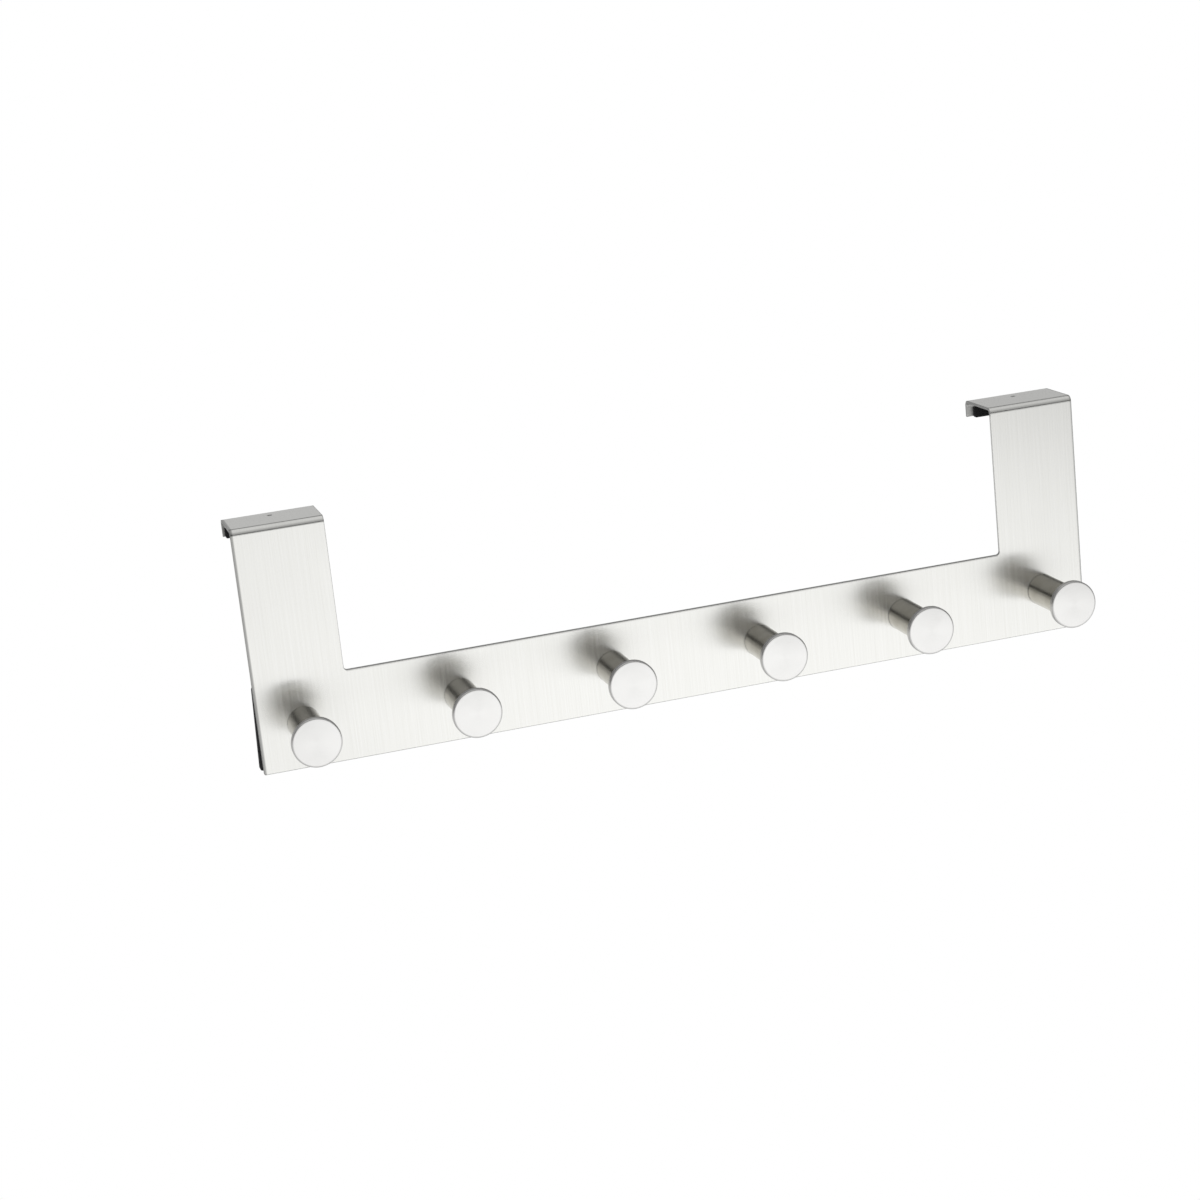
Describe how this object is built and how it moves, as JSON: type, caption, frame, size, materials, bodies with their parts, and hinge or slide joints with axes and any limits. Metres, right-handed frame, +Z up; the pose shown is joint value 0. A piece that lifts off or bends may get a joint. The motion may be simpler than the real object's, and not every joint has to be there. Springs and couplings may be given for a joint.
{
  "type": "over-door knob rack",
  "caption": "Over-door rack: a folded stainless sheet that hangs on a door's top edge, with a row of turned knobs along its rail and foam pads towards the door.",
  "frame": {"origin": "midway between the two folds, on the plane where they rest on the door's top edge, in the middle of the door gap", "axes": "+X along the rail to the right as seen from the front, +Y from the knobs towards the door, +Z up"},
  "size_m": [0.4024, 0.0624, 0.112],
  "materials": {
    "brushed_sheet": "brushed along the height of the sheet",
    "turned_steel": "turned satin, faced heads",
    "screw_steel": "bright zinc",
    "foam": "fine closed-cell foam"
  },
  "bodies": {
    "root": {"back_plate": "brushed_sheet", "knob_1": "turned_steel", "knob_2": "turned_steel", "knob_3": "turned_steel", "knob_4": "turned_steel", "knob_5": "turned_steel", "knob_6": "turned_steel", "knob_screws": "screw_steel", "rail_pad": "foam", "lip_pad_left": "foam", "lip_pad_right": "foam"}
  },
  "joints": []
}
